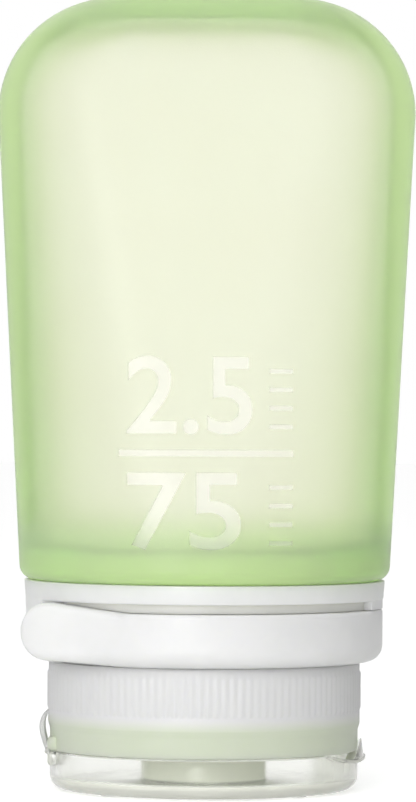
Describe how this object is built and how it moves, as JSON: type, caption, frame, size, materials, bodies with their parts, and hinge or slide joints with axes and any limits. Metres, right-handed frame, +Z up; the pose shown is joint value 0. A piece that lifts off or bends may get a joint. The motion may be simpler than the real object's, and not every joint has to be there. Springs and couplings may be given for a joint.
{
  "type": "travel squeeze bottle",
  "caption": "Soft squeeze travel bottle that stands on its flip lid: flattened silicone body, collar with a swing-out hanging loop, ribbed screw cap and valve nozzle.",
  "frame": {"origin": "centre of the lid's flat face, on which the bottle stands", "axes": "+Z up through the neck to the body's base; +X from the lid's hinge to its thumb lip; the body's broad front faces -Y"},
  "size_m": [0.0512, 0.0448, 0.097],
  "materials": {
    "silicone": "translucent pale green, satin",
    "white_plastic": "satin white",
    "frosted_plastic": "translucent, frosted",
    "clear_plastic": "clear, polished",
    "valve_silicone": "translucent, soft"
  },
  "bodies": {
    "bottle": {"bottle_body": "silicone", "neck_sleeve": "frosted_plastic", "collar": "white_plastic", "loop_pin": "white_plastic"},
    "loop": {"hang_loop": "white_plastic"},
    "washer": {"sealing_washer": "valve_silicone"},
    "cap": {"screw_cap": "frosted_plastic", "film_hinges": "clear_plastic", "hinge_strap": "clear_plastic", "slit_valve": "valve_silicone", "valve_retainer": "frosted_plastic"},
    "lid": {"flip_lid": "clear_plastic"}
  },
  "joints": [
    {"name": "loop_swing", "type": "hinge", "parent": "bottle", "child": "loop", "pos_m": [0.01898, 0.00806, 0.0191], "axis": [0, 0, 1], "range_deg": [0, 90]},
    {"name": "cap_lift", "type": "slide", "parent": "bottle", "child": "washer", "axis": [0, 0, -1], "range_m": [0, 0.0091]},
    {"name": "cap_turn", "type": "hinge", "parent": "washer", "child": "cap", "pos_m": [0, 0, 0.01], "axis": [0, 0, -1], "range_deg": [0, 1080]},
    {"name": "lid_flip", "type": "hinge", "parent": "cap", "child": "lid", "pos_m": [-0.01905, 0, 0.005], "axis": [0, 1, 0], "range_deg": [0, 150], "deforming": ["hinge_strap"]}
  ],
  "couplings": [
    {"joint": "cap_lift", "follows": "cap_turn", "m_per_rad": 0.00047746}
  ]
}
